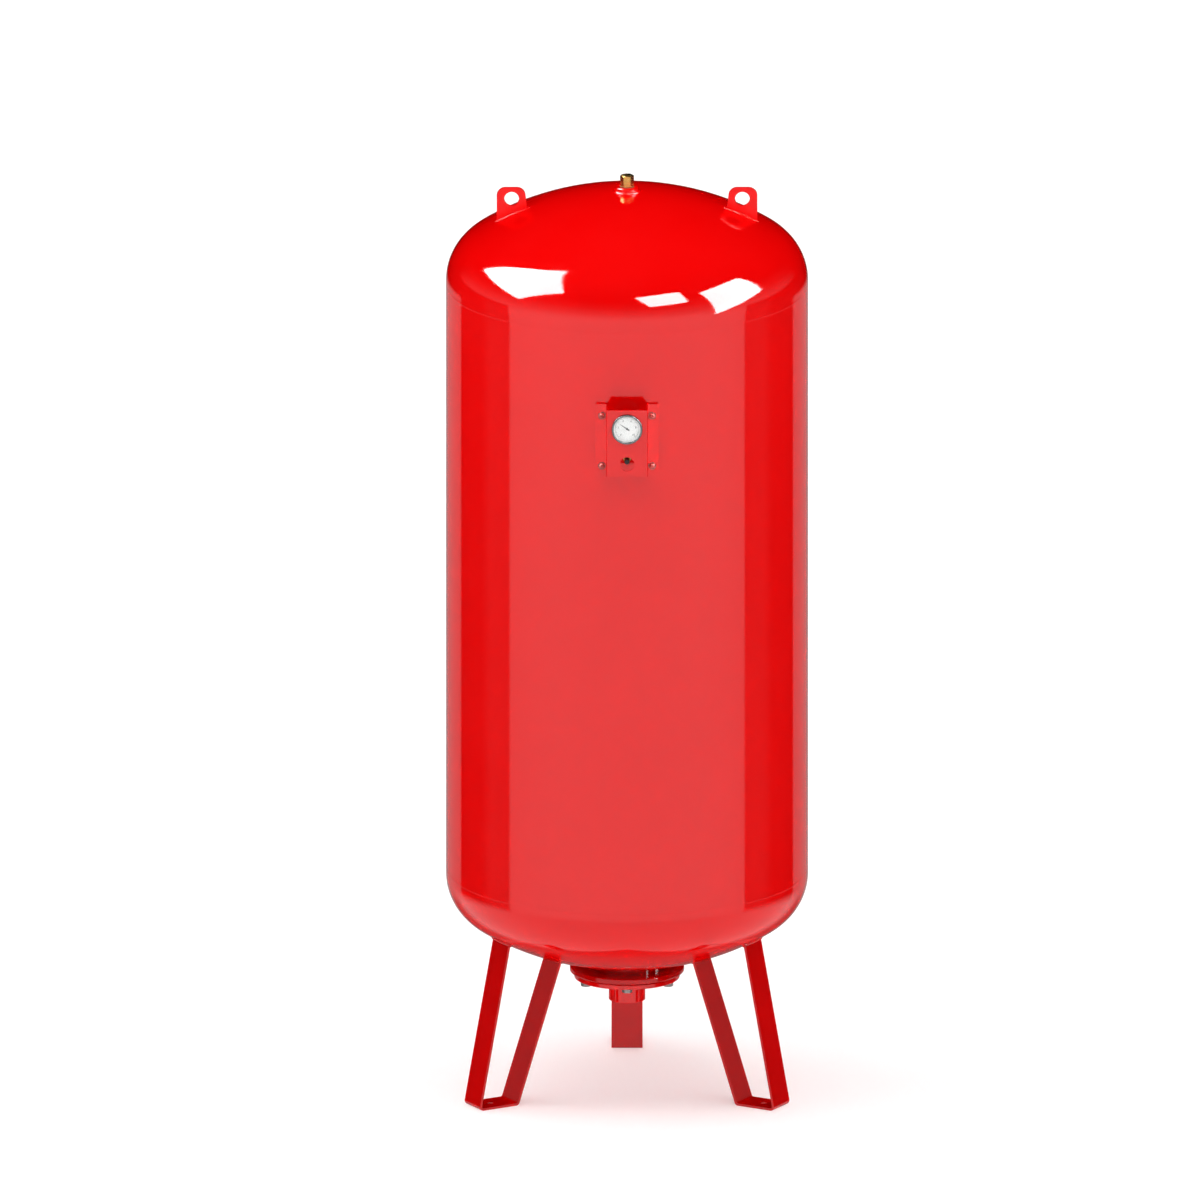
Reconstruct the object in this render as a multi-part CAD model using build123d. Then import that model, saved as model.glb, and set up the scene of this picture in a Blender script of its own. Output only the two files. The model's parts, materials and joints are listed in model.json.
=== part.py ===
from build123d import *
import os
from math import asin, cos, degrees, radians, sin, sqrt, tan

# Vertical air-charged pressure vessel: a welded steel shell on three bent flat-bar legs,
# with a replaceable rubber bladder, a bottom water connection, two lifting lugs, and a
# pressure gauge and charging valve behind a sheet-metal cover.
#
# Millimetres.  +Z is up, the origin is on the floor on the vessel's axis, and the gauge
# cover faces -Y.  "Reach" is a distance from the vessel's axis towards -Y.  An "inset" is
# measured inwards from the shell's outside radius or from the edge it belongs to.

# ---- vessel ----
TANK_D = 750.0
WALL = 4.0
TANGENT_LENGTH = 1272.0
GROUND_TO_TANGENT = 456.5
CROWN_RATIO = 0.8
KNUCKLE_RATIO = 0.154
HEAD_FLANGE = 10.0
ROOT_GAP = 2.0
SEAM_W = 8.0
SEAM_H = 0.9
LONG_SEAM_AZIMUTH = 62.0

# ---- legs ----
LEG_AZIMUTHS = {"leg_back": 90.0, "leg_front_left": 210.0, "leg_front_right": 330.0}
BAR_W = 64.5
BAR_T = 5.0
FOOT_OUTER_INSET = 3.0
FOOT_INNER_INSET = 97.5
OUTER_LEAN = 11.4
INNER_LEAN = 19.3
BAR_BEND_R = 9.0
ANCHOR_HOLE_D = 15.0
ANCHOR_INSET = 48.0
LEG_WELD = 5.5
WELD_COLLAR_DEPTH = 8.0

# ---- lifting lugs ----
LUG_T = 10.0
LUG_OUTER_INSET = 105.0
LUG_TOP_W = 58.0
LUG_BASE_W = 67.0
LUG_H = 71.5
LUG_CORNER_R = 18.0
LUG_HOLE_D = 30.5
LUG_HOLE_INSET = 31.0
LUG_HOLE_DROP = 23.5
LUG_WELD = 6.0

# ---- bottom neck, flanges and water connection ----
NECK_OD = 168.3
NECK_WALL = 8.0
NECK_INSIDE = 12.0
NECK_WELD = 6.0
FLANGE_RIM = 20.5
FLANGE_T = 12.0
FLANGE_TO_HEAD = 8.6
FLANGE_EDGE_R = 3.0
COUNTER_RIM = 11.5
COUNTER_T = 10.0
COUNTER_EDGE_R = 1.5
COUNTER_BORE = 62.0
LIP_T = 3.0
LIP_RIM = 4.85
SOCKET_OD = 76.0
SOCKET_L = 49.0
SOCKET_THREAD_R = 28.33
SOCKET_CHAMFER = 1.6
SOCKET_WELD = 5.0
BOLT_COUNT = 6
BOLT_CLEAR = 13.85
BOLT_D = 12.0
BOLT_HOLE_D = 13.5
BOLT_AF = 19.0
BOLT_HEAD_H = 7.5
BOLT_SHORT = 1.0
BOLT_SKIN = 2.0
BOLT_CHAMFER = 1.6

# ---- bladder ----
BLADDER_WALL = 3.0
BLADDER_INSET = 50.0
BLADDER_NECK_CLEAR = 0.6
BLADDER_SHOULDER_INSET = 35.0
BLADDER_TOP_PAD_R = 40.0

# ---- top stem ----
BOSS_OD = 48.0
BOSS_RISE = 9.4
BOSS_INSIDE = 12.5
BOSS_WELD = 4.5
BOSS_CHAMFER = 1.5
STEM_D = 20.0
STEM_BORE = 8.0
STEM_CLEAR = 0.3
STEM_FLANGE_D = 46.0
STEM_FLANGE_T = 5.0
WASHER_OD = 30.0
WASHER_T = 1.5
STEM_AF = 25.0
STEM_NUT_H = 12.0
STEM_CAP_H = 11.5
STEM_CAP_TOP = 4.0
STEM_CHAMFER = 3.2
HEX_CHAMFER = 0.8

# ---- gauge cover ----
COVER_BELOW_TANGENT = 305.5
COVER_TOP_MARGIN = 9.0
COVER_SIDE_MARGIN = 11.5
COVER_T = 2.0
COVER_DEPTH = 55.0
COVER_GAP = 2.0
COVER_FLANGE = 23.0
COVER_BEND_R = 3.0
ACCESS_HOLE_D = 30.0
ACCESS_UP = 27.0
SCREW_OUT = 9.0
SCREW_UP = 10.1
SCREW_DOWN = 24.7
SCREW_D = 6.0
SCREW_HOLE_D = 6.8
SCREW_HEAD_D = 11.0
SCREW_HEAD_H = 4.0
SCREW_WASHER_D = 16.0
SCREW_WASHER_T = 1.5
PAD_D = 18.0
SHANK_INSET = 1.5

# ---- gauge ----
GAUGE_UP = 102.0
GAUGE_PROUD = 4.0
BEZEL_D = 63.0
BEZEL_L = 8.0
BEZEL_WALL = 1.0
BEZEL_LIP = 1.3
BEZEL_LIP_W = 2.5
CASE_WALL = 1.2
CASE_DEPTH = 26.7
WINDOW_CLEAR = 0.8
LENS_T = 2.0
LENS_CLEAR = 0.2
DIAL_T = 0.8
DIAL_DROP = 5.0
DIAL_CLEAR = 0.3
POINTER_ANGLE = 145.0
POINTER_L = 18.0
POINTER_TAIL = 6.0
POINTER_W = 1.6
POINTER_T = 0.6
POINTER_DROP = 2.6
HUB_R = 2.4
HUB_T = 2.0
STEM_HEX_AF = 14.0
STEM_L = 12.0
STEM_NECK_L = 2.0
STEM_BORE_R = 2.0
GAUGE_THREAD_R = 6.5
GAUGE_NECK_R = 6.0
GAUGE_SOCKET_D = 24.0
GAUGE_THREAD_L = 10.0
SOCKET_INSIDE = 5.0
SMALL_WELD = 3.5
BLOCK_W = 14.0
BLOCK_H = 16.0
BLOCK_T = 5.8

# ---- gauge movement ----
TUBE_R = 24.0
TUBE_SECTION = (2.4, 7.0)
TUBE_START = -90.0
TUBE_SWEEP = 270.0
TUBE_CLEAR = 0.8
ARM_W = 4.0
ARM_T = 4.0
PLATE_W = 18.0
PLATE_H = 26.0
PLATE_T = 1.0
PLATE_SPACE = 7.0
PLATE_STANDOFF = 2.0
PILLAR_R = 1.2
ARBOR_R = 0.8
RUNNING = 0.03
CENTRE_DISTANCE = 12.0
PINION_R = 1.6
PITCH_CLEAR = 0.05
PINION_T = 4.0
SECTOR_T = 2.0
SECTOR_LOW = -20.5
SECTOR_HIGH = 37.5
SECTOR_HUB_R = 3.0
SECTOR_RIM = 2.5
TAIL_L = 6.5
TAIL_W = 2.6
LINK_T = 0.8
LINK_GAP = 0.3
LINK_W = 2.4
LINK_REACH = (-13.0, 6.0)
LINK_PIN_R = 0.6

# ---- charging valve ----
VALVE_SOCKET_D = 22.0
VALVE_SOCKET_PROUD = 11.0
VALVE_HEX_AF = 14.0
VALVE_HEX_T = 4.0
VALVE_THREAD_R = 3.85
VALVE_THREAD_L = 18.0
VALVE_SHANK_R = 5.0
VALVE_SHANK_L = 16.0
VALVE_BORE_R = 2.4
VALVE_SEAT_R = 1.5
VALVE_SEAT_L = 10.0
PIN_R = 0.8
PIN_INSET = 0.8
PIN_COLLAR_R = 2.0
PIN_COLLAR_T = 1.5
PIN_TRAVEL = 1.5
SLEEVE_L = 8.0
SLEEVE_INSET = 4.0
SPRING_WIRE_R = 0.25
SPRING_R = 1.75
SPRING_TURNS = 5
CAP_R = 5.5
CAP_CLEAR = 0.1
CAP_TOP = 2.0
CAP_L = 16.0
CAP_AIR = 2.0
CAP_EDGE_R = 1.2
CORE_GAP = 0.1

# ---- worked out from the above ----
TANK_R = TANK_D / 2
CROWN_R = CROWN_RATIO * TANK_D
KNUCKLE_R = KNUCKLE_RATIO * TANK_D
HEAD_DEPTH = CROWN_R - sqrt((CROWN_R - KNUCKLE_R) ** 2 - (TANK_R - KNUCKLE_R) ** 2)
CROWN_ANGLE = degrees(asin((TANK_R - KNUCKLE_R) / (CROWN_R - KNUCKLE_R)))
BOTTOM_TANGENT = GROUND_TO_TANGENT
TOP_TANGENT = BOTTOM_TANGENT + TANGENT_LENGTH
BOTTOM_APEX = BOTTOM_TANGENT - HEAD_DEPTH
TOP_APEX = TOP_TANGENT + HEAD_DEPTH
BOTTOM_CENTRE = BOTTOM_APEX + CROWN_R
TOP_CENTRE = TOP_APEX - CROWN_R
SHELL_LOW = BOTTOM_TANGENT + HEAD_FLANGE + ROOT_GAP
SHELL_HIGH = TOP_TANGENT - HEAD_FLANGE - ROOT_GAP

FOOT_OUTER_R = TANK_R - FOOT_OUTER_INSET
FOOT_INNER_R = TANK_R - FOOT_INNER_INSET
ANCHOR_R = TANK_R - ANCHOR_INSET

LUG_OUTER_R = TANK_R - LUG_OUTER_INSET
LUG_INNER_TOP_R = LUG_OUTER_R - LUG_TOP_W
LUG_INNER_BASE_R = LUG_OUTER_R - LUG_BASE_W
LUG_HOLE_R = LUG_OUTER_R - LUG_HOLE_INSET
LUG_FOOT = TOP_CENTRE + sqrt(CROWN_R ** 2 - LUG_OUTER_R ** 2)
LUG_TOP = LUG_FOOT + LUG_H

NECK_R = NECK_OD / 2
NECK_BORE_R = NECK_R - NECK_WALL
BOLT_PCD = NECK_OD + 2 * BOLT_CLEAR
FLANGE_OD = BOLT_PCD + 2 * FLANGE_RIM
COUNTER_OD = BOLT_PCD + 2 * COUNTER_RIM
LIP_OD = NECK_OD + 2 * LIP_RIM
FLANGE_TOP = BOTTOM_APEX - FLANGE_TO_HEAD
FLANGE_BOTTOM = FLANGE_TOP - FLANGE_T
BOLT_HOLE_END = FLANGE_TOP - BOLT_SKIN
COUNTER_TOP = FLANGE_BOTTOM - LIP_T
COUNTER_BOTTOM = COUNTER_TOP - COUNTER_T
SOCKET_BOTTOM = COUNTER_BOTTOM - SOCKET_L

BLADDER_R = TANK_R - BLADDER_INSET
BLADDER_SHOULDER_R = BLADDER_R - BLADDER_SHOULDER_INSET

BOSS_TOP = TOP_APEX + BOSS_RISE
BOSS_BOTTOM = TOP_APEX - BOSS_INSIDE
STEM_NUT_LOW = BOSS_TOP + WASHER_T
STEM_NUT_TOP = STEM_NUT_LOW + STEM_NUT_H
STEM_CAP_TOP_Z = STEM_NUT_TOP + STEM_CAP_H

COVER_Z_LOW = TOP_TANGENT - COVER_BELOW_TANGENT
COVER_H = GAUGE_UP + BEZEL_D / 2 + COVER_TOP_MARGIN
COVER_W = BEZEL_D + 2 * COVER_SIDE_MARGIN
COVER_REACH = TANK_R + COVER_DEPTH
FLANGE_REACH = TANK_R + COVER_GAP
GAUGE_Z = COVER_Z_LOW + GAUGE_UP
ACCESS_Z = COVER_Z_LOW + ACCESS_UP
SCREW_X = COVER_W / 2 + SCREW_OUT
SCREW_Z = (COVER_Z_LOW + SCREW_UP, COVER_Z_LOW + COVER_H - SCREW_DOWN)

CASE_D = BEZEL_D - 2 * BEZEL_WALL
BEZEL_REACH = COVER_REACH + GAUGE_PROUD
CASE_FRONT = BEZEL_REACH - BEZEL_LIP - LENS_T
CASE_BACK = CASE_FRONT - CASE_DEPTH
GAUGE_SOCKET_REACH = CASE_BACK - STEM_L
BLOCK_FRONT = CASE_BACK + CASE_WALL + BLOCK_T
PLATE_BACK = BLOCK_FRONT + PLATE_STANDOFF
PLATE_FRONT = PLATE_BACK + PLATE_T + PLATE_SPACE
DIAL_FRONT = CASE_FRONT - DIAL_DROP
POINTER_FRONT = CASE_FRONT - POINTER_DROP
SECTOR_BACK = PLATE_BACK + PLATE_T + 3.0
SECTOR_R = CENTRE_DISTANCE - PINION_R - PITCH_CLEAR

VALVE_SOCKET_REACH = TANK_R + VALVE_SOCKET_PROUD
VALVE_HEX_FRONT = VALVE_SOCKET_REACH + VALVE_HEX_T
VALVE_END = VALVE_HEX_FRONT + VALVE_THREAD_L
PIN_END = VALVE_END - PIN_INSET
SEAT_FACE = VALVE_SOCKET_REACH - VALVE_SHANK_L + VALVE_SEAT_L
SLEEVE_TOP = VALVE_END - SLEEVE_INSET
COLLAR_LOW = SLEEVE_TOP - SLEEVE_L - PIN_COLLAR_T - CORE_GAP

FACING = Rot(90, 0, 0)


# ---- helpers ----
def turned(*points):
    """Solid of revolution about +Z from an outline of (radius, height) points."""
    return revolve(Plane.XZ * Polygon(*points, align=None), axis=Axis.Z)


def tube(outer_r, inner_r, low, high):
    """Tube about +Z between two heights."""
    return turned((inner_r, low), (outer_r, low), (outer_r, high), (inner_r, high))


def rod(radius, low, high):
    """Round bar about +Z between two heights."""
    return Pos(0, 0, (low + high) / 2) * Cylinder(radius, high - low)


def block(x_size, y_size, low, high):
    """Rectangular bar centred on +Z between two heights."""
    return Pos(0, 0, (low + high) / 2) * Box(x_size, y_size, high - low)


def hexagon(across_flats, low, high, chamfer_low=0.0, chamfer_high=0.0):
    """Hexagonal prism about +Z whose corners are turned down at either end."""
    flats = RegularPolygon(across_flats / 2, 6, major_radius=False)
    prism = Pos(0, 0, low) * extrude(flats, high - low)
    corner = across_flats / sqrt(3) + 0.01
    turned_down = turned(
        (0, low),
        (corner - chamfer_low, low),
        (corner, low + chamfer_low * 0.6),
        (corner, high - chamfer_high * 0.6),
        (corner - chamfer_high, high),
        (0, high),
    )
    return prism & turned_down


def facing_front(piece, height):
    """Turn a piece made about +Z so that its +Z points out of the vessel's front."""
    return Pos(0, 0, height) * FACING * piece


def around(piece, azimuths):
    """Copies of a piece turned about the vessel's axis."""
    return [Rot(0, 0, azimuth) * piece for azimuth in azimuths]


def group(pieces):
    """Separate solids that share one node."""
    return Compound([solid for piece in pieces for solid in piece.solids()])


def filled_head(inset):
    """Solid torispherical head, open end down, its tangent line at height zero."""
    crown_r = CROWN_R - inset
    knuckle_r = KNUCKLE_R - inset
    crown_centre = HEAD_DEPTH - CROWN_R
    radius = TANK_R - inset
    crown = CenterArc((0, crown_centre), crown_r, 90 - CROWN_ANGLE, CROWN_ANGLE)
    knuckle = CenterArc((TANK_R - KNUCKLE_R, 0), knuckle_r, 0, 90 - CROWN_ANGLE)
    skirt = Polyline(
        (radius, 0), (radius, -HEAD_FLANGE), (0, -HEAD_FLANGE), (0, crown_centre + crown_r)
    )
    outline = make_face([*crown.edges(), *knuckle.edges(), *skirt.edges()])
    return revolve(Plane.XZ * outline, axis=Axis.Z)


def bottom_place(piece):
    """Put a head piece at the lower end of the shell."""
    return Pos(0, 0, BOTTOM_TANGENT) * Rot(180, 0, 0) * piece


HEAD_SOLID = filled_head(0)
BOTTOM_SOLID = bottom_place(HEAD_SOLID)
TOP_SOLID = Pos(0, 0, TOP_TANGENT) * HEAD_SOLID
BODY_SOLID = rod(TANK_R, BOTTOM_TANGENT, TOP_TANGENT)


# ---- vessel ----
def make_heads():
    """Pressed heads with the holes for the boss and the neck."""
    head = HEAD_SOLID - filled_head(WALL)
    top = Pos(0, 0, TOP_TANGENT) * head - rod(BOSS_OD / 2, BOSS_BOTTOM, BOSS_TOP)
    neck_hole = rod(NECK_R, FLANGE_TOP, BOTTOM_TANGENT)
    bottom = bottom_place(head) - neck_hole
    return {"top_head": top, "bottom_head": bottom}


def long_seam_box(width, radial):
    """Bar through the shell's wall along its longitudinal joint."""
    bar = Pos(TANK_R, 0, 0) * block(radial, width, SHELL_LOW, SHELL_HIGH)
    return Rot(0, 0, LONG_SEAM_AZIMUTH) * bar


def make_shell():
    """Rolled shell, open along its joint and at the two socket holes."""
    shell = tube(TANK_R, TANK_R - WALL, SHELL_LOW, SHELL_HIGH)
    shell -= long_seam_box(ROOT_GAP, 4 * WALL)
    holes = ((GAUGE_SOCKET_D, GAUGE_Z), (VALVE_SOCKET_D, ACCESS_Z))
    for diameter, height in holes:
        shell -= facing_front(rod(diameter / 2, TANK_R - 5 * WALL, TANK_R + WALL), height)
    return shell


def make_round_seam(centre):
    """Girth weld that fills the root gap, with a low crowned cap outside."""
    root = ROOT_GAP / 2
    cap = SEAM_W / 2
    return turned(
        (TANK_R - WALL, centre - root),
        (TANK_R, centre - root),
        (TANK_R, centre - cap),
        (TANK_R + SEAM_H * 0.7, centre - cap * 0.6),
        (TANK_R + SEAM_H, centre - cap * 0.2),
        (TANK_R + SEAM_H, centre + cap * 0.2),
        (TANK_R + SEAM_H * 0.7, centre + cap * 0.6),
        (TANK_R, centre + cap),
        (TANK_R, centre + root),
        (TANK_R - WALL, centre + root),
    )


def make_long_seam():
    """Longitudinal weld between the two girth welds."""
    clear = (SEAM_W - ROOT_GAP) / 2
    root = long_seam_box(ROOT_GAP, 4 * WALL) & tube(TANK_R, TANK_R - WALL, SHELL_LOW, SHELL_HIGH)
    cap_ring = tube(TANK_R + SEAM_H, TANK_R, SHELL_LOW + clear, SHELL_HIGH - clear)
    cap = long_seam_box(SEAM_W, 4 * WALL) & cap_ring
    return root + cap


# ---- lifting lugs ----
def make_lug():
    """Upright plate on the right of the top head, its foot cut to the crown."""
    base = LUG_FOOT - LUG_T
    outline = Polygon(
        (LUG_INNER_BASE_R, base),
        (LUG_OUTER_R, base),
        (LUG_OUTER_R, LUG_TOP),
        (LUG_INNER_TOP_R, LUG_TOP),
        align=None,
    )
    outline = fillet(outline.vertices().sort_by(Axis.Y)[-2:], LUG_CORNER_R)
    outline -= Pos(LUG_HOLE_R, LUG_TOP - LUG_HOLE_DROP) * Circle(LUG_HOLE_D / 2)
    plate = extrude(Plane.XZ * outline, LUG_T / 2, both=True)
    return plate - TOP_SOLID


def make_lug_weld():
    """Fillet beads along both sides of the right-hand lug, following the crown."""
    start = asin((LUG_INNER_BASE_R - LUG_WELD) / CROWN_R)
    end = asin((LUG_OUTER_R + LUG_WELD) / CROWN_R)
    half = LUG_T / 2
    section = Polygon(
        (CROWN_R - 1, half),
        (CROWN_R - 1, half + LUG_WELD),
        (CROWN_R, half + LUG_WELD),
        (CROWN_R + LUG_WELD, half),
        align=None,
    )
    centre = (0, 0, TOP_CENTRE)
    plane = Plane(centre, x_dir=(sin(start), 0, cos(start)), z_dir=(-cos(start), 0, sin(start)))
    bead = revolve(plane * section, axis=Axis(centre, (0, 1, 0)), revolution_arc=degrees(end - start))
    bead -= TOP_SOLID
    return [bead, mirror(bead, Plane.XZ)]


# ---- legs ----
def bar_outline(lean_out, lean_in, outer, inner, floor, height):
    """Corners of the leg's U on one face of the bar: outer top, outer foot, inner foot, inner top."""
    return [
        (outer - height * tan(lean_out), height),
        (outer - floor * tan(lean_out), floor),
        (inner - floor * tan(lean_in), floor),
        (inner - height * tan(lean_in), height),
    ]


def make_leg():
    """U of bent flat bar in the X-Z plane, coped to the bottom head."""
    lean_out = radians(OUTER_LEAN)
    lean_in = radians(INNER_LEAN)
    height = BOTTOM_CENTRE - sqrt(CROWN_R ** 2 - (FOOT_OUTER_R - BAR_W) ** 2) + BAR_T
    shifts = (BAR_T / cos(lean_out), BAR_T / cos(lean_in))
    outside = Polygon(
        *bar_outline(lean_out, lean_in, FOOT_OUTER_R, FOOT_INNER_R, 0, height), align=None
    )
    inside = Polygon(
        *bar_outline(
            lean_out, lean_in, FOOT_OUTER_R - shifts[0], FOOT_INNER_R + shifts[1], BAR_T, height + BAR_T
        ),
        align=None,
    )
    outside = fillet(outside.vertices().sort_by(Axis.Y)[:2], BAR_BEND_R)
    inside = fillet(inside.vertices().sort_by(Axis.Y)[:2], BAR_BEND_R - BAR_T)
    bar = extrude(Plane.XZ * (outside - inside), BAR_W / 2, both=True)
    bar -= Pos(ANCHOR_R, 0, 0) * rod(ANCHOR_HOLE_D / 2, -BAR_T, 2 * BAR_T)
    return bar - BOTTOM_SOLID


def bar_top(foot_r, lean):
    """Where the bar's centre line meets the crown, as (radius, height)."""
    slope = tan(lean)
    a = 1 + slope ** 2
    b = -2 * (foot_r * slope + BOTTOM_CENTRE)
    c = foot_r ** 2 + BOTTOM_CENTRE ** 2 - CROWN_R ** 2
    height = (-b - sqrt(b ** 2 - 4 * a * c)) / (2 * a)
    return foot_r - height * slope, height


def make_leg_welds(leg):
    """Fillet collars where the two bars of a leg meet the bottom head."""
    bars = (
        (FOOT_OUTER_R - BAR_T / 2 / cos(radians(OUTER_LEAN)), radians(OUTER_LEAN)),
        (FOOT_INNER_R + BAR_T / 2 / cos(radians(INNER_LEAN)), radians(INNER_LEAN)),
    )
    depth = WELD_COLLAR_DEPTH
    collars = []
    for foot_r, lean in bars:
        radius, height = bar_top(foot_r, lean)
        up = (-sin(lean), 0, cos(lean))
        down = (sin(lean), 0, -cos(lean))
        origin = (radius + depth * up[0], 0, height + depth * up[2])
        plane = Plane(origin, x_dir=(cos(lean), 0, sin(lean)), z_dir=down)
        spread = 2 * (depth + LEG_WELD)
        flare = plane * Rectangle(BAR_T + spread, BAR_W + spread)
        collar = extrude(flare, depth + LEG_WELD - 0.5, taper=45)
        collars.append(collar - BOTTOM_SOLID - leg)
    return collars


def make_legs():
    """The three legs and their welds."""
    leg = make_leg()
    welds = make_leg_welds(leg)
    nodes = {name: Rot(0, 0, azimuth) * leg for name, azimuth in LEG_AZIMUTHS.items()}
    beads = [bead for weld in welds for bead in around(weld, LEG_AZIMUTHS.values())]
    nodes["leg_welds"] = group(beads)
    return nodes


# ---- bottom connection ----
def bolt_places():
    """Bolt azimuths, one of them facing the front."""
    return [270 + 360 / BOLT_COUNT * index for index in range(BOLT_COUNT)]


def bolt_holes(diameter, low, high):
    """Cutters for the flange bolts."""
    hole = Pos(BOLT_PCD / 2, 0, 0) * rod(diameter / 2, low, high)
    return around(hole, bolt_places())


def rounded_disc(diameter, bore, low, high, edge_r):
    """Flat ring with its two outer edges rounded."""
    ring = tube(diameter / 2, bore / 2, low, high)
    edges = ring.edges().filter_by(GeomType.CIRCLE).sort_by(SortBy.RADIUS)[-2:]
    return fillet(edges, edge_r)


def make_neck():
    """Neck pipe, its weld to the head, and the flange welded to its lower end."""
    pipe = tube(NECK_R, NECK_BORE_R, FLANGE_TOP, BOTTOM_APEX + NECK_INSIDE)
    crown = BOTTOM_CENTRE - sqrt(CROWN_R ** 2 - NECK_R ** 2)
    bead = turned((NECK_R, crown - NECK_WELD), (NECK_R + NECK_WELD, crown + 2), (NECK_R, crown + 2))
    flange = rounded_disc(FLANGE_OD, 2 * NECK_BORE_R, FLANGE_BOTTOM, FLANGE_TOP, FLANGE_EDGE_R)
    for hole in bolt_holes(BOLT_D, FLANGE_BOTTOM, BOLT_HOLE_END):
        flange -= hole
    return {"neck_pipe": pipe, "neck_weld": bead - BOTTOM_SOLID, "neck_flange": flange}


def make_counter_flange():
    """Bolted flange with the threaded water socket welded under it."""
    disc = rounded_disc(COUNTER_OD, COUNTER_BORE, COUNTER_BOTTOM, COUNTER_TOP, COUNTER_EDGE_R)
    for hole in bolt_holes(BOLT_HOLE_D, COUNTER_BOTTOM, COUNTER_TOP):
        disc -= hole
    outer = SOCKET_OD / 2
    socket = turned(
        (SOCKET_THREAD_R, COUNTER_BOTTOM),
        (SOCKET_THREAD_R, SOCKET_BOTTOM),
        (outer - SOCKET_CHAMFER, SOCKET_BOTTOM),
        (outer, SOCKET_BOTTOM + SOCKET_CHAMFER),
        (outer, COUNTER_BOTTOM),
    )
    bead = turned(
        (outer, COUNTER_BOTTOM),
        (outer + SOCKET_WELD, COUNTER_BOTTOM),
        (outer, COUNTER_BOTTOM - SOCKET_WELD),
    )
    return {"counter_flange": disc, "water_socket": socket, "water_socket_weld": bead}


def make_flange_bolts():
    """Hexagon bolts from below, screwed into blind tapped holes in the neck flange."""
    shank = rod(BOLT_D / 2, COUNTER_BOTTOM, BOLT_HOLE_END - BOLT_SHORT)
    head_low = COUNTER_BOTTOM - BOLT_HEAD_H
    head = hexagon(BOLT_AF, head_low, COUNTER_BOTTOM, chamfer_low=BOLT_CHAMFER)
    bolt = Pos(BOLT_PCD / 2, 0, 0) * (Rot(0, 0, 30) * head + shank)
    return {"flange_bolts": group(around(bolt, bolt_places()))}


# ---- bladder ----
def filled_bag(inset):
    """Bladder's outline as a solid, its neck open at the lip."""
    neck_r = NECK_BORE_R - BLADDER_NECK_CLEAR - inset
    low_turn = BOTTOM_TANGENT - HEAD_DEPTH / 2
    bag = Polygon(
        (0, COUNTER_TOP),
        (neck_r, COUNTER_TOP),
        (neck_r, BOTTOM_APEX + 3 * NECK_INSIDE + inset),
        (BLADDER_SHOULDER_R - inset, low_turn + HEAD_DEPTH / 3 + inset / 2),
        (BLADDER_R - inset, BOTTOM_TANGENT + HEAD_DEPTH / 2),
        (BLADDER_R - inset, TOP_TANGENT - HEAD_DEPTH / 2),
        (BLADDER_SHOULDER_R - inset, TOP_TANGENT + HEAD_DEPTH / 6 - inset / 2),
        (BLADDER_TOP_PAD_R, BOSS_BOTTOM - inset),
        (0, BOSS_BOTTOM - inset),
        align=None,
    )
    return revolve(Plane.XZ * bag, axis=Axis.Z)


def make_bladder():
    """Rubber bladder: clamped lip, neck, bag and the pad round the top stem."""
    bag = filled_bag(0) - filled_bag(BLADDER_WALL)
    lip_bore = NECK_BORE_R - BLADDER_NECK_CLEAR - BLADDER_WALL
    lip = tube(LIP_OD / 2, lip_bore, COUNTER_TOP, FLANGE_BOTTOM)
    stem_hole = rod(STEM_D / 2, BOSS_BOTTOM - 2 * BLADDER_WALL, BOSS_BOTTOM)
    return bag + lip - stem_hole


# ---- top stem ----
def make_top_stem():
    """Welded boss, the stem that holds the bladder's top, and its brass fittings."""
    bore_r = STEM_D / 2 + STEM_CLEAR
    boss_r = BOSS_OD / 2
    boss = tube(boss_r, bore_r, BOSS_BOTTOM, BOSS_TOP)
    top_edges = boss.edges().filter_by(GeomType.CIRCLE).group_by(Axis.Z)[-1]
    boss = chamfer(top_edges.sort_by(SortBy.RADIUS)[-1], BOSS_CHAMFER)
    crown = TOP_CENTRE + sqrt(CROWN_R ** 2 - boss_r ** 2)
    bead = turned((boss_r, crown - 2), (boss_r + BOSS_WELD, crown - 2), (boss_r, crown + BOSS_WELD))
    flange_top = BOSS_BOTTOM - BLADDER_WALL
    stem_top = STEM_CAP_TOP_Z - STEM_CAP_TOP
    stem = rod(STEM_D / 2, flange_top, stem_top)
    stem += rod(STEM_FLANGE_D / 2, flange_top - STEM_FLANGE_T, flange_top)
    stem -= rod(STEM_BORE / 2, flange_top - STEM_FLANGE_T, stem_top)
    nut = hexagon(STEM_AF, STEM_NUT_LOW, STEM_NUT_TOP, HEX_CHAMFER, HEX_CHAMFER)
    cap = hexagon(STEM_AF, STEM_NUT_TOP, STEM_CAP_TOP_Z, HEX_CHAMFER, STEM_CHAMFER)
    return {
        "top_boss": boss,
        "top_boss_weld": bead - TOP_SOLID,
        "membrane_stem": stem,
        "stem_washer": tube(WASHER_OD / 2, STEM_D / 2, BOSS_TOP, STEM_NUT_LOW),
        "stem_nut": nut - rod(STEM_D / 2, STEM_NUT_LOW, STEM_NUT_TOP),
        "stem_cap": cap - rod(STEM_D / 2, STEM_NUT_TOP, stem_top),
    }


# ---- gauge cover ----
def corners_at(sheet, places):
    """Corners of a symmetrical outline at the given distances from its middle line."""
    return [
        corner
        for corner in sheet.vertices()
        for across, reach in places
        if abs(abs(corner.X) - across) < 0.01 and abs(corner.Y - reach) < 0.01
    ]


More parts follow.
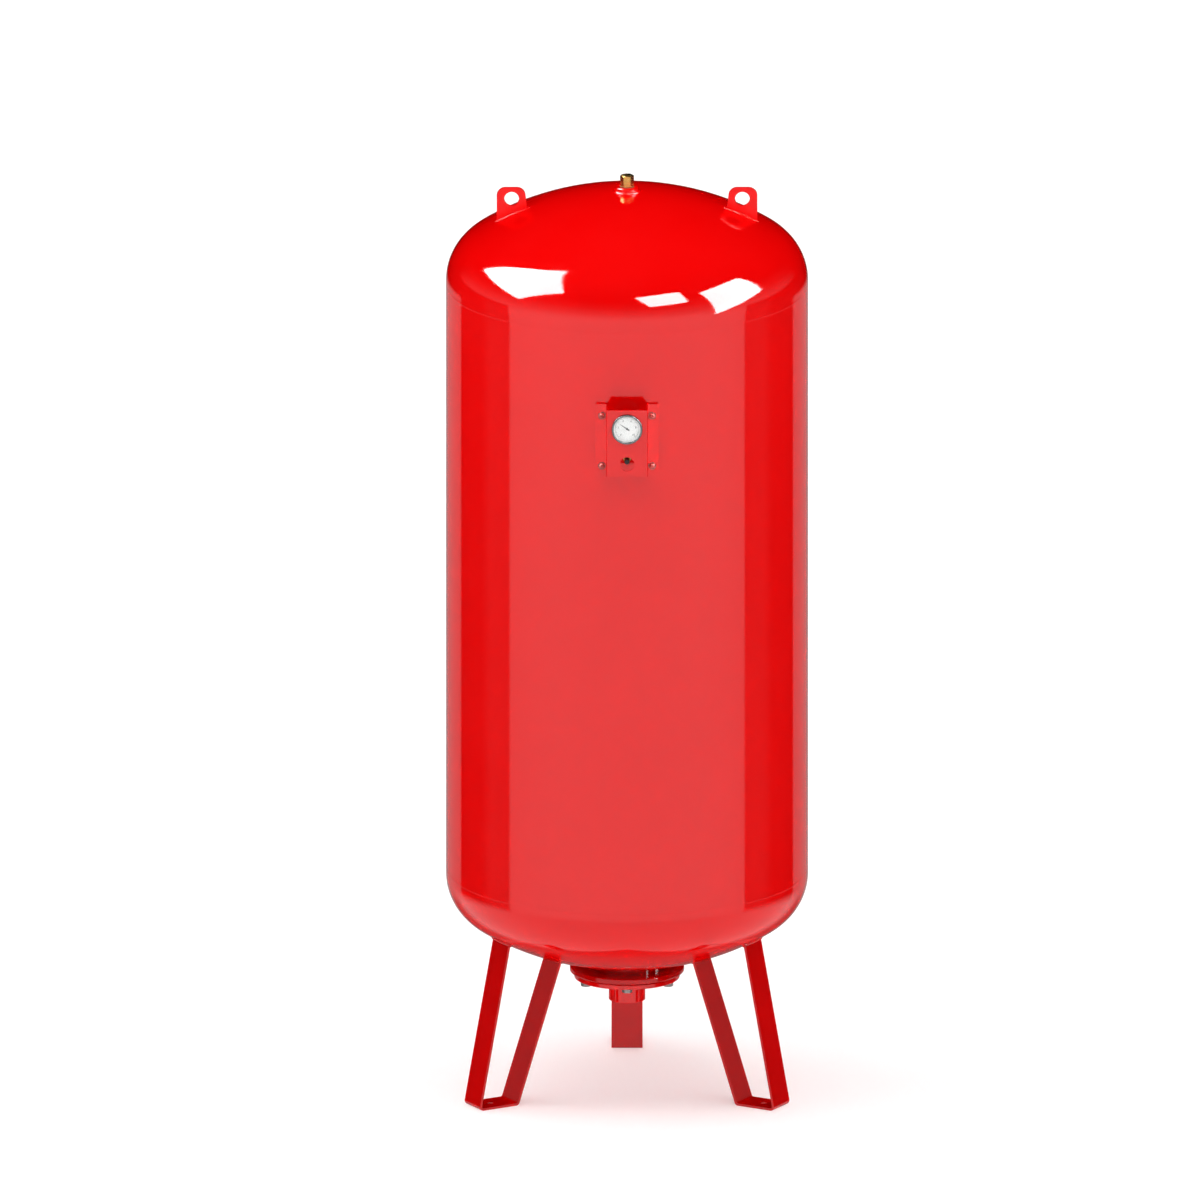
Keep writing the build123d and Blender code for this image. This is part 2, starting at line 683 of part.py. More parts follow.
def make_cover():
    """Bent sheet cover: front plate, two sides and two screw flanges, open above and below."""
    half = COVER_W / 2
    wing = half + COVER_FLANGE
    sheet = Polygon(
        (-wing, FLANGE_REACH),
        (-half + COVER_T, FLANGE_REACH),
        (-half + COVER_T, COVER_REACH - COVER_T),
        (half - COVER_T, COVER_REACH - COVER_T),
        (half - COVER_T, FLANGE_REACH),
        (wing, FLANGE_REACH),
        (wing, FLANGE_REACH + COVER_T),
        (half, FLANGE_REACH + COVER_T),
        (half, COVER_REACH),
        (-half, COVER_REACH),
        (-half, FLANGE_REACH + COVER_T),
        (-wing, FLANGE_REACH + COVER_T),
        align=None,
    )
    outside = ((half, COVER_REACH), (half - COVER_T, FLANGE_REACH))
    inside = ((half - COVER_T, COVER_REACH - COVER_T), (half, FLANGE_REACH + COVER_T))
    sheet = fillet(corners_at(sheet, outside), COVER_BEND_R)
    sheet = fillet(corners_at(sheet, inside), COVER_BEND_R - COVER_T)
    cover = Pos(0, 0, COVER_Z_LOW) * Rot(0, 0, 180) * extrude(sheet, COVER_H)
    for x, z in screw_places():
        hole = rod(SCREW_HOLE_D / 2, TANK_R, FLANGE_REACH + 2 * COVER_T)
        cover -= Pos(x, 0, 0) * facing_front(hole, z)
    window = rod(BEZEL_D / 2 + WINDOW_CLEAR, COVER_REACH - 2 * COVER_T, COVER_REACH + COVER_T)
    access = rod(ACCESS_HOLE_D / 2, COVER_REACH - 2 * COVER_T, COVER_REACH + COVER_T)
    return cover - facing_front(window, GAUGE_Z) - facing_front(access, ACCESS_Z)


def screw_places():
    """Centres of the four cover screws."""
    return [(side * SCREW_X, z) for side in (-1, 1) for z in SCREW_Z]


def make_cover_fasteners():
    """Weld pads on the shell, washers and button-head screws."""
    washer_low = FLANGE_REACH + COVER_T
    head_low = washer_low + SCREW_WASHER_T
    shank_end = TANK_R - SHANK_INSET
    pad = rod(PAD_D / 2, TANK_R - 3 * WALL, FLANGE_REACH)
    pad -= rod(SCREW_D / 2, shank_end, FLANGE_REACH)
    washer = tube(SCREW_WASHER_D / 2, SCREW_D / 2 + 0.2, washer_low, head_low)
    head = rod(SCREW_HEAD_D / 2, head_low, head_low + SCREW_HEAD_H)
    head = fillet(head.edges().group_by(Axis.Z)[-1], SCREW_HEAD_H * 0.7)
    recess = Pos(0, 0, head_low + SCREW_HEAD_H / 2) * extrude(RegularPolygon(2, 6), SCREW_HEAD_H)
    screw = head + rod(SCREW_D / 2, shank_end, head_low) - recess
    pads = []
    washers = []
    screws = []
    for x, z in screw_places():
        pads.append(Pos(x, 0, 0) * facing_front(pad, z) - BODY_SOLID)
        washers.append(Pos(x, 0, 0) * facing_front(washer, z))
        screws.append(Pos(x, 0, 0) * facing_front(screw, z))
    return {
        "cover_pads": group(pads),
        "cover_washers": group(washers),
        "cover_screws": group(screws),
    }


# ---- gauge ----
def make_socket(diameter, reach, bore_r, height):
    """Steel socket through the shell's wall with a small fillet weld outside."""
    radius = diameter / 2
    inner_end = TANK_R - WALL - SOCKET_INSIDE
    socket = facing_front(tube(radius, bore_r, inner_end, reach), height)
    bead = turned(
        (radius, TANK_R - WALL),
        (radius + SMALL_WELD, TANK_R - WALL),
        (radius + SMALL_WELD, TANK_R - WALL / 10),
        (radius, TANK_R + SMALL_WELD),
    )
    return socket, facing_front(bead, height) - BODY_SOLID


def make_gauge_body():
    """Case, bezel, lens, dial and the threaded stem at the back."""
    case_r = CASE_D / 2
    case = rod(case_r, CASE_BACK, CASE_FRONT)
    case -= rod(case_r - CASE_WALL, CASE_BACK + CASE_WALL, CASE_FRONT)
    case -= rod(GAUGE_NECK_R, CASE_BACK, CASE_FRONT)
    bezel = tube(BEZEL_D / 2, case_r, BEZEL_REACH - BEZEL_L, BEZEL_REACH - BEZEL_LIP)
    bezel += tube(BEZEL_D / 2, case_r - BEZEL_LIP_W, BEZEL_REACH - BEZEL_LIP, BEZEL_REACH)
    rim = bezel.edges().filter_by(GeomType.CIRCLE).group_by(Axis.Z)[-1]
    bezel = fillet(rim, BEZEL_LIP * 0.45)
    dial_r = case_r - CASE_WALL - DIAL_CLEAR
    stem = rod(GAUGE_THREAD_R, GAUGE_SOCKET_REACH - GAUGE_THREAD_L, GAUGE_SOCKET_REACH)
    stem += hexagon(
        STEM_HEX_AF, GAUGE_SOCKET_REACH, CASE_BACK - STEM_NECK_L, HEX_CHAMFER, HEX_CHAMFER
    )
    stem += rod(GAUGE_NECK_R, CASE_BACK - STEM_NECK_L, CASE_BACK + CASE_WALL)
    stem += block(BLOCK_W, BLOCK_H, CASE_BACK + CASE_WALL, BLOCK_FRONT)
    stem -= rod(STEM_BORE_R, GAUGE_SOCKET_REACH - GAUGE_THREAD_L, BLOCK_FRONT - STEM_BORE_R)
    return {
        "gauge_case": case,
        "gauge_bezel": bezel,
        "gauge_lens": rod(case_r - LENS_CLEAR, CASE_FRONT, CASE_FRONT + LENS_T),
        "gauge_dial": tube(dial_r, HUB_R, DIAL_FRONT - DIAL_T, DIAL_FRONT),
        "gauge_stem": stem,
    }


def make_bourdon_tube():
    """Flattened C-shaped tube on an arm from the stem's block."""
    thick, wide = TUBE_SECTION
    low = CASE_BACK + CASE_WALL + TUBE_CLEAR
    section = Pos(TUBE_R, 0, low + wide / 2) * Box(thick, 0.01, wide)
    face = section.faces().sort_by(Axis.Y)[0]
    coil = revolve(face, axis=Axis.Z, revolution_arc=TUBE_SWEEP)
    coil = Rot(0, 0, TUBE_START) * coil
    arm_length = TUBE_R - BLOCK_H / 2
    arm = Pos(0, -BLOCK_H / 2 - arm_length / 2, low + ARM_T / 2 + 1) * Box(ARM_W, arm_length, ARM_T)
    return coil + arm


def make_movement_frame():
    """Two plates on pillars, with pivot holes for the pointer spindle and the sector."""
    centre_y = PILLAR_R - CENTRE_DISTANCE / 2 + 1
    plate = Pos(0, centre_y, 0) * block(PLATE_W, PLATE_H, PLATE_BACK, PLATE_BACK + PLATE_T)
    plate += Pos(0, centre_y, 0) * block(PLATE_W, PLATE_H, PLATE_FRONT, PLATE_FRONT + PLATE_T)
    edge = PLATE_W / 2 - 2 * PILLAR_R + 0.9
    pillars = ((-edge, 5), (edge, 5), (edge, -CENTRE_DISTANCE - 4))
    for x, y in pillars:
        plate += Pos(x, y, 0) * rod(PILLAR_R, PLATE_BACK, PLATE_FRONT + PLATE_T)
    for x in (-BLOCK_W / 3, BLOCK_W / 3):
        plate += Pos(x, -BLOCK_H / 3, 0) * rod(PILLAR_R, BLOCK_FRONT, PLATE_BACK + PLATE_T)
    pivot = rod(ARBOR_R + RUNNING, PLATE_BACK, PLATE_FRONT + PLATE_T)
    return plate - pivot - Pos(0, -CENTRE_DISTANCE, 0) * pivot


def make_pointer():
    """Needle, hub, spindle and pinion in one turning piece."""
    hub = rod(HUB_R, POINTER_FRONT - HUB_T, POINTER_FRONT)
    needle = Polygon(
        (-POINTER_TAIL, -POINTER_W),
        (-POINTER_TAIL, POINTER_W),
        (0, POINTER_W * 0.75),
        (POINTER_L, POINTER_W / 8),
        (POINTER_L, -POINTER_W / 8),
        (0, -POINTER_W * 0.75),
        align=None,
    )
    needle = Pos(0, 0, POINTER_FRONT - HUB_T / 2) * extrude(needle, POINTER_T)
    hub_and_needle = hub + Rot(0, 0, POINTER_ANGLE) * needle
    spindle = rod(ARBOR_R, PLATE_BACK - PLATE_T / 2, POINTER_FRONT - HUB_T)
    pinion_low = SECTOR_BACK + SECTOR_T / 2 - PINION_T / 2
    return hub_and_needle + spindle + rod(PINION_R, pinion_low, pinion_low + PINION_T)


def make_sector():
    """Toothed sector drawn at its pitch circle, with arbor, tail and link pin."""
    low = SECTOR_BACK
    high = low + SECTOR_T
    arbor = rod(ARBOR_R, PLATE_BACK, PLATE_FRONT + PLATE_T)
    sweep = SECTOR_HIGH - SECTOR_LOW
    radial = Pos(SECTOR_R / 2, 0, (low + high) / 2) * Box(SECTOR_R, 0.01, SECTOR_T)
    wedge = revolve(radial.faces().sort_by(Axis.Y)[0], axis=Axis.Z, revolution_arc=sweep)
    wedge = Rot(0, 0, 90 - SECTOR_HIGH) * wedge
    hub = rod(SECTOR_HUB_R, low, high)
    tail = Pos(-TAIL_L / 2, 0, 0) * block(TAIL_L, TAIL_W, low, high)
    tail += Pos(-TAIL_L, 0, 0) * rod(TAIL_W / 2, low, high)
    pin = Pos(-TAIL_L, 0, 0) * rod(LINK_PIN_R, low - 2 * LINK_T, low)
    return Pos(0, -CENTRE_DISTANCE, 0) * (arbor + wedge + hub + tail + pin)


def make_link():
    """Flat link from the sector's tail towards the tip of the bourdon tube."""
    high = SECTOR_BACK - LINK_GAP
    low = high - LINK_T
    dx, dy = LINK_REACH
    length = sqrt(dx ** 2 + dy ** 2)
    bar = Pos(length / 2, 0, 0) * block(length, LINK_W, low, high)
    bar += rod(LINK_W / 2, low, high)
    bar += Pos(length, 0, 0) * rod(LINK_W / 2, low, high)
    bar -= rod(LINK_PIN_R + RUNNING, low, high)
    bar -= Pos(length, 0, 0) * rod(LINK_PIN_R, low, high)
    turn = 180 - degrees(asin(dy / length))
    return Pos(-TAIL_L, -CENTRE_DISTANCE, 0) * Rot(0, 0, turn) * bar


def make_gauge():
    """All gauge pieces, facing the vessel's front."""
    pieces = make_gauge_body()
    pieces["bourdon_tube"] = make_bourdon_tube()
    pieces["movement_frame"] = make_movement_frame()
    pieces["gauge_pointer"] = make_pointer()
    pieces["sector_gear"] = make_sector()
    pieces["sector_link"] = make_link()
    return {name: facing_front(piece, GAUGE_Z) for name, piece in pieces.items()}


# ---- charging valve ----
def make_valve_spring():
    """Fine coil spring behind the pin's collar, drawn at its fully pressed length."""
    length = COLLAR_LOW - PIN_TRAVEL - CORE_GAP - SEAT_FACE - 2 * SPRING_WIRE_R
    helix = Helix(pitch=length / SPRING_TURNS, height=length, radius=SPRING_R)
    profile = Plane(helix @ 0, z_dir=helix % 0) * Circle(SPRING_WIRE_R)
    return Pos(0, 0, SEAT_FACE + SPRING_WIRE_R) * sweep(profile, path=helix)


def make_charge_valve():
    """Valve body, core sleeve, pin, spring and screw cap, facing the vessel's front."""
    shank_end = VALVE_SOCKET_REACH - VALVE_SHANK_L
    body = rod(VALVE_SHANK_R, shank_end, VALVE_SOCKET_REACH)
    body += hexagon(
        VALVE_HEX_AF, VALVE_SOCKET_REACH, VALVE_HEX_FRONT, HEX_CHAMFER, HEX_CHAMFER
    )
    body += rod(VALVE_THREAD_R, VALVE_HEX_FRONT, VALVE_END)
    body -= rod(VALVE_BORE_R, SEAT_FACE, VALVE_END)
    body -= rod(VALVE_SEAT_R, shank_end, SEAT_FACE)
    sleeve = tube(VALVE_BORE_R, PIN_R + RUNNING, SLEEVE_TOP - SLEEVE_L, SLEEVE_TOP)
    pin = rod(PIN_R, SEAT_FACE + 1, PIN_END)
    pin += rod(PIN_COLLAR_R, COLLAR_LOW, COLLAR_LOW + PIN_COLLAR_T)
    cap_high = VALVE_END + CAP_AIR + CAP_TOP
    cap = rod(CAP_R, cap_high - CAP_L, cap_high)
    cap = fillet(cap.edges().group_by(Axis.Z)[-1], CAP_EDGE_R)
    cap -= rod(VALVE_THREAD_R + CAP_CLEAR, cap_high - CAP_L, VALVE_END + CAP_AIR)
    pieces = {
        "charge_valve_body": body,
        "charge_valve_sleeve": sleeve,
        "charge_valve_pin": pin,
        "charge_valve_spring": make_valve_spring(),
        "charge_valve_cap": cap,
    }
    return {name: facing_front(piece, ACCESS_Z) for name, piece in pieces.items()}


def make_all():
    """Every node of the vessel by name."""
    nodes = {"shell": make_shell()}
    nodes.update(make_heads())
    centre = HEAD_FLANGE + ROOT_GAP / 2
    nodes["bottom_seam_weld"] = make_round_seam(BOTTOM_TANGENT + centre)
    nodes["top_seam_weld"] = make_round_seam(TOP_TANGENT - centre)
    nodes["long_seam_weld"] = make_long_seam()
    lug = make_lug()
    beads = make_lug_weld()
    nodes["lifting_lug_right"] = lug
    nodes["lifting_lug_left"] = Rot(0, 0, 180) * lug
    nodes["lug_welds"] = group(beads + [Rot(0, 0, 180) * bead for bead in beads])
    nodes.update(make_legs())
    nodes.update(make_neck())
    nodes.update(make_counter_flange())
    nodes.update(make_flange_bolts())
    nodes["bladder"] = make_bladder()
    nodes.update(make_top_stem())
    nodes["gauge_cover"] = make_cover()
    nodes.update(make_cover_fasteners())
    nodes.update(make_gauge())
    nodes.update(make_charge_valve())
    gauge_socket, gauge_bead = make_socket(
        GAUGE_SOCKET_D, GAUGE_SOCKET_REACH, GAUGE_THREAD_R, GAUGE_Z
    )
    valve_socket, valve_bead = make_socket(
        VALVE_SOCKET_D, VALVE_SOCKET_REACH, VALVE_SHANK_R, ACCESS_Z
    )
    nodes["gauge_socket"] = gauge_socket
    nodes["charge_socket"] = valve_socket
    nodes["socket_welds"] = group([gauge_bead, valve_bead])
    return nodes


os.makedirs("parts", exist_ok=True)
for name, piece in make_all().items():
    export_step(piece, f"parts/{name}.step")
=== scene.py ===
import json
from math import asin, cos, degrees, pi, radians, sin, sqrt, tan, tau

import bpy
from mathutils import Matrix, Vector


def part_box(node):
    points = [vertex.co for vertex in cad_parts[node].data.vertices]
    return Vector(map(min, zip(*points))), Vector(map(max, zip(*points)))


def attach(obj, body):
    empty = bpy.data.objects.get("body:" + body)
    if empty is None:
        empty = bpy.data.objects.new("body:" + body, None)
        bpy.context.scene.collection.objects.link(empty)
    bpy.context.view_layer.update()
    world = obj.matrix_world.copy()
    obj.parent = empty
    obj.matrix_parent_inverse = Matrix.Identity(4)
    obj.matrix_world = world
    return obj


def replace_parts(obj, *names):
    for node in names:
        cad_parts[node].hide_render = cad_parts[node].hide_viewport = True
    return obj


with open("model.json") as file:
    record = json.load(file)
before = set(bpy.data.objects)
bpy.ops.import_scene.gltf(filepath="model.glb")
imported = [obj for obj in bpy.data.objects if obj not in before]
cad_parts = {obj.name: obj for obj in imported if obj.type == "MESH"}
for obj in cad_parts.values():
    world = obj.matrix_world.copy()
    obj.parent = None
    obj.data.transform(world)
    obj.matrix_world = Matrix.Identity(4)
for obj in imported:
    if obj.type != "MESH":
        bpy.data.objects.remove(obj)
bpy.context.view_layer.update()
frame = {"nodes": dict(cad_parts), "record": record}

# Vertical air-charged pressure vessel on three legs, in metres, +Z up, front towards -Y.

NODES = frame["nodes"]

# ---- view ----
VIEW_ELEVATION = radians(15.4)
VIEW_WIDTH = 2.486
AXIS_RIGHT = 0.056
FLOOR_BELOW = 1.0028
CAMERA_DISTANCE = 6.0

# ---- vessel shape that the boxes of the nodes don't give ----
WALL = 0.004
CROWN_RATIO = 0.8
KNUCKLE_RATIO = 0.154
HEAD_FLANGE = 0.010
SHELL_SEGMENTS = 360
SEAM_CROWN = 0.00012
BAR_T = 0.005
FOOT_OUTER_R = 0.372
FOOT_INNER_R = 0.2775
OUTER_LEAN = radians(11.4)
INNER_LEAN = radians(19.3)
LEG_AZIMUTHS = (radians(90), radians(210), radians(330))
LUG_INNER_R = 0.203
LEG_TOP_REACH = 0.33
BEAD_CLEAR = 0.001
THREAD_PITCH = 0.002309
THREAD_DEPTH = 0.0011
THREAD_BORE_R = 0.02833

# ---- dial print ----
SCALE_START = 225.0
SCALE_SWEEP = 270.0
SCALE_TOP = 10
NUMBER_STEP = 2
PRINT_T = 0.00012
SCALE_LINE = 0.86
NUMBER_LINE = 0.63
NUMBER_SIZE = 0.0062
MAJOR_TICK_L = 0.0034
MINOR_TICK_L = 0.0018
LIMIT_VALUE = 6.7

# ---- light ----
SOFTBOX_STRENGTH = 24.0
SKY_STRENGTH = 1.9
SKY_LEAST = 0.04
BELOW_STRENGTH = 1.05
ROOM_STRENGTH = 2.3
LEFT_LAMP_WATTS = 11
RIGHT_LAMP_WATTS = 7
FLOOR_HALF = 14.0

# ---- worked out ----
BAR_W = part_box("leg_back")[1][0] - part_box("leg_back")[0][0]
SHELL_LOW, SHELL_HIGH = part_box("shell")
TANK_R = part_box("top_head")[1][0]
TOP_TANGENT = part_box("top_head")[0][2] + HEAD_FLANGE
BOTTOM_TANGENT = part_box("bottom_head")[1][2] - HEAD_FLANGE
CROWN_R = CROWN_RATIO * 2 * TANK_R
KNUCKLE_R = KNUCKLE_RATIO * 2 * TANK_R
HEAD_DEPTH = CROWN_R - sqrt((CROWN_R - KNUCKLE_R) ** 2 - (TANK_R - KNUCKLE_R) ** 2)
CROWN_ANGLE = asin((TANK_R - KNUCKLE_R) / (CROWN_R - KNUCKLE_R))
TOP_CENTRE = Vector((0, 0, TOP_TANGENT + HEAD_DEPTH - CROWN_R))
BOTTOM_CENTRE = Vector((0, 0, BOTTOM_TANGENT - HEAD_DEPTH + CROWN_R))


# ---- node helpers ----
class Nodes:
    """Short way to add and join shader nodes in one tree."""

    def __init__(self, tree):
        self.tree = tree

    def add(self, kind, values=None, **settings):
        node = self.tree.nodes.new(kind)
        for key, value in settings.items():
            setattr(node, key, value)
        for key, value in (values or {}).items():
            if isinstance(value, bpy.types.NodeSocket):
                self.tree.links.new(value, node.inputs[key])
            else:
                node.inputs[key].default_value = value
        return node

    def math(self, operation, first, second=0.0, clamp=False):
        values = {0: first, 1: second}
        return self.add("ShaderNodeMath", values, operation=operation, use_clamp=clamp).outputs[0]

    def ramp(self, factor, stops):
        node = self.add("ShaderNodeValToRGB", {"Fac": factor})
        elements = node.color_ramp.elements
        while len(elements) < len(stops):
            elements.new(0.5)
        for element, (position, colour) in zip(elements, stops):
            element.position = position
            element.color = (*colour, 1) if hasattr(colour, "__len__") else (colour, colour, colour, 1)
        return node.outputs["Color"]


# ---- materials ----
def surface(name, low, high, rough=(0.3, 0.4), metal=0.0, grain=200.0, bump=0.0, bump_grain=None,
            stretch=(1, 1, 1), detail=4.0, sockets=None):
    """A finish whose colour, roughness and relief all come from noise in the vessel's own frame."""
    material = bpy.data.materials.new(name)
    material.use_nodes = True
    nodes = Nodes(material.node_tree)
    shader = material.node_tree.nodes["Principled BSDF"]
    place = nodes.add("ShaderNodeTexCoord").outputs["Object"]
    scaled = nodes.add("ShaderNodeMapping", {"Vector": place, "Scale": stretch}).outputs["Vector"]
    noise = nodes.add(
        "ShaderNodeTexNoise", {"Vector": scaled, "Scale": grain, "Detail": detail, "Roughness": 0.55}
    )
    spread = nodes.ramp(noise.outputs["Fac"], ((0.3, low), (0.7, high)))
    nodes.tree.links.new(spread, shader.inputs["Base Color"])
    wear = nodes.add("ShaderNodeTexNoise", {"Vector": scaled, "Scale": grain * 0.37, "Detail": detail})
    level = nodes.add(
        "ShaderNodeMapRange",
        {
            "Value": wear.outputs["Fac"], "From Min": 0.3, "From Max": 0.7,
            "To Min": rough[0], "To Max": rough[1],
        },
    )
    nodes.tree.links.new(level.outputs["Result"], shader.inputs["Roughness"])
    shader.inputs["Metallic"].default_value = metal
    if bump:
        relief = nodes.add(
            "ShaderNodeTexNoise",
            {"Vector": scaled, "Scale": bump_grain or grain, "Detail": 2.0, "Roughness": 0.5},
        )
        raised = nodes.add(
            "ShaderNodeBump", {"Height": relief.outputs["Fac"], "Distance": bump, "Strength": 1.0}
        )
        nodes.tree.links.new(raised.outputs["Normal"], shader.inputs["Normal"])
    for key, value in (sockets or {}).items():
        shader.inputs[key].default_value = value
    return material


def make_materials():
    """One finish for each slot of the record, less glossy or tinted ones for a few pieces, and a darker red
    for the legs and neck that is painted shade.
    """
    return {
        "red_paint": surface(
            "red_paint", (0.81, 0.0006, 0.0008), (0.83, 0.0012, 0.0014), (0.045, 0.085), grain=9.0,
            bump=0.00002, bump_grain=170.0, sockets={"IOR": 1.5},
        ),
        "lug_paint": surface(
            "lug_paint", (0.80, 0.0006, 0.0008), (0.86, 0.0012, 0.0014), (0.10, 0.18), grain=12.0,
            bump=0.00003, bump_grain=220.0, sockets={"IOR": 1.32},
        ),
        # darker copy of red_paint: painted shade for the legs, the neck and their welds under the tank
        "shaded_red_paint": surface(
            "shaded_red_paint", (0.54, 0.0006, 0.0008), (0.60, 0.0012, 0.0014), (0.05, 0.09), grain=12.0,
            bump=0.00002, bump_grain=220.0, sockets={"IOR": 1.4},
        ),
        "zinc_steel": surface(
            "zinc_steel", (0.52, 0.52, 0.54), (0.68, 0.67, 0.64), (0.36, 0.50), 1.0, grain=420.0,
            bump=0.00003, bump_grain=900.0,
        ),
        "screw_finish": surface(
            "screw_finish", (0.42, 0.10, 0.09), (0.50, 0.13, 0.12), (0.48, 0.60), 1.0, grain=420.0,
            bump=0.00003, bump_grain=900.0,
        ),
        "washer_finish": surface(
            "washer_finish", (0.34, 0.10, 0.09), (0.42, 0.13, 0.12), (0.40, 0.55), 1.0, grain=420.0,
            bump=0.00003, bump_grain=900.0,
        ),
        "dull_zinc": surface(
            "dull_zinc", (0.26, 0.22, 0.21), (0.36, 0.32, 0.31), (0.45, 0.60), 1.0, grain=520.0,
            bump=0.00003, bump_grain=900.0,
        ),
        "brass": surface(
            "brass", (0.42, 0.24, 0.06), (0.70, 0.45, 0.14), (0.20, 0.34), 1.0, grain=160.0,
            bump=0.00004, bump_grain=700.0, stretch=(1, 1, 6),
        ),
        "bladder_rubber": surface(
            "bladder_rubber", (0.012, 0.012, 0.012), (0.03, 0.03, 0.03), (0.6, 0.8), grain=60.0,
            bump=0.0002, bump_grain=240.0,
        ),
        "washer_fibre": surface(
            "washer_fibre", (0.14, 0.03, 0.015), (0.26, 0.07, 0.03), (0.6, 0.8), grain=900.0,
            bump=0.00008, bump_grain=1400.0,
        ),
        "gauge_case_paint": surface(
            "gauge_case_paint", (0.012, 0.012, 0.013), (0.03, 0.03, 0.03), (0.28, 0.42), grain=500.0,
            bump=0.00004, bump_grain=1100.0,
        ),
        "polished_steel": surface(
            "polished_steel", (0.13, 0.13, 0.135), (0.19, 0.19, 0.195), (0.16, 0.26), 1.0, grain=240.0,
            bump=0.00001, bump_grain=1600.0,
        ),
        # the emission is a painted glow that lightens the dial in the shade of the bezel
        "dial_white": surface(
            "dial_white", (0.84, 0.84, 0.82), (0.92, 0.92, 0.90), (0.4, 0.5), grain=300.0,
            bump=0.00001, bump_grain=1500.0,
            sockets={"Emission Color": (1, 1, 1, 1), "Emission Strength": 0.28},
        ),
        "pointer_black": surface(
            "pointer_black", (0.010, 0.010, 0.010), (0.03, 0.03, 0.03), (0.35, 0.5), grain=900.0,
            bump=0.00001, bump_grain=2500.0,
        ),
        "spring_steel": surface(
            "spring_steel", (0.40, 0.40, 0.42), (0.60, 0.60, 0.60), (0.2, 0.35), 1.0, grain=1500.0,
            bump=0.00001, bump_grain=3000.0,
        ),
        "cap_plastic": surface(
            "cap_plastic", (0.016, 0.016, 0.016), (0.04, 0.04, 0.04), (0.35, 0.5), grain=700.0,
            bump=0.00006, bump_grain=1300.0,
        ),
        "lens_glass": surface(
            "lens_glass", (0.93, 0.95, 0.95), (0.98, 0.99, 0.99), (0.02, 0.05), grain=200.0,
            bump=0.000004, bump_grain=160.0, sockets={"Alpha": 0.14, "IOR": 1.5},
        ),
        "limit_red": surface(
            "limit_red", (0.55, 0.01, 0.01), (0.65, 0.02, 0.02), (0.4, 0.5), grain=900.0,
            bump=0.00001, bump_grain=2500.0,
        ),
    }


def paint_nodes(materials):
    """Give each CAD node the finish of its slot, or another one: less glossy or tinted, or for the legs,
    neck pipe and neck flange a darker red that is painted shade.
    """
    # legs, neck pipe and neck flange take a darker red that is painted shade; the other entries are real
    # finishes
    finish_or_painted_shade = {
        "leg_back": "shaded_red_paint",
        "leg_front_left": "shaded_red_paint",
        "leg_front_right": "shaded_red_paint",
        "neck_pipe": "shaded_red_paint",
        "neck_flange": "shaded_red_paint",
        "lifting_lug_left": "lug_paint",
        "lifting_lug_right": "lug_paint",
        "cover_screws": "screw_finish",
        "cover_washers": "washer_finish",
        "flange_bolts": "dull_zinc",
    }
    for part in frame["record"]["subparts"]:
        node = part["node"]
        piece = NODES[node]
        if not piece.material_slots:
            piece.data.materials.append(None)
        for material_slot in piece.material_slots:
            material_slot.material = materials[finish_or_painted_shade.get(node, part["material_slot"])]


# ---- mesh helpers ----
def mesh_piece(name, vertices, faces, material, slot, crease=35.0):
    """A smooth-shaded mesh that rides on the tank."""
    mesh = bpy.data.meshes.new(name)
    mesh.from_pydata([tuple(v) for v in vertices], [], faces)
    mesh.validate()
    mesh.polygons.foreach_set("use_smooth", [True] * len(mesh.polygons))
    mesh.set_sharp_from_angle(angle=radians(crease))
    mesh.materials.append(material)
    piece = bpy.data.objects.new(name, mesh)
    bpy.context.scene.collection.objects.link(piece)
    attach(piece, "tank")
    return piece


def lathe(name, outline, material, slot, segments=SHELL_SEGMENTS):
    """Ring turned about +Z from a closed outline of (radius, height) points, listed clockwise."""
    vertices = []
    for step in range(segments):
        angle = tau * step / segments
        for radius, height in outline:
            vertices.append((radius * cos(angle), radius * sin(angle), height))
    count = len(outline)
    faces = []
    for step in range(segments):
        here = step * count
        there = (step + 1) % segments * count
        for index in range(count):
            after = (index + 1) % count
            faces.append((here + index, here + after, there + after, there + index))
    return mesh_piece(name, vertices, faces, material, slot)


def head_outline(hole_r, inset):
    """One skin of a head from its hole to its edge, as (radius, height above the tangent line)."""
    crown_r = CROWN_R - inset
    knuckle_r = KNUCKLE_R - inset
    start = asin(hole_r / crown_r)
    crown_steps = 40
    knuckle_steps = 28
    points = []
    for step in range(crown_steps):
        angle = start + (CROWN_ANGLE - start) * step / crown_steps
        points.append((crown_r * sin(angle), HEAD_DEPTH - CROWN_R + crown_r * cos(angle)))
    for step in range(knuckle_steps + 1):
        angle = CROWN_ANGLE + (pi / 2 - CROWN_ANGLE) * step / knuckle_steps
        points.append((TANK_R - KNUCKLE_R + knuckle_r * sin(angle), knuckle_r * cos(angle)))
    points.append((TANK_R - inset, -HEAD_FLANGE))
    return points


def make_vessel(materials):
    """Shell and heads with many more facets than their CAD meshes, for clean reflections."""
    red = materials["red_paint"]
    low = SHELL_LOW[2]
    high = SHELL_HIGH[2]
    inner_r = TANK_R - WALL
    rows = 12
    outside = [(TANK_R, high - (high - low) * row / rows) for row in range(rows + 1)]
    shell = lathe("shell_skin", outside + [(inner_r, low), (inner_r, high)], red, "red_paint")
    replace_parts(shell, "shell")
    for name, node, hole, tangent, upward in (
        ("top_head_skin", "top_head", "top_boss", TOP_TANGENT, 1),
        ("bottom_head_skin", "bottom_head", "neck_pipe", BOTTOM_TANGENT, -1),
    ):
        hole_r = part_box(hole)[1][0]
        skins = head_outline(hole_r, 0) + head_outline(hole_r, WALL)[::-1]
        outline = [(radius, tangent + upward * height) for radius, height in skins]
        if upward < 0:
            outline.reverse()
        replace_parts(lathe(name, outline, red, "red_paint"), node)


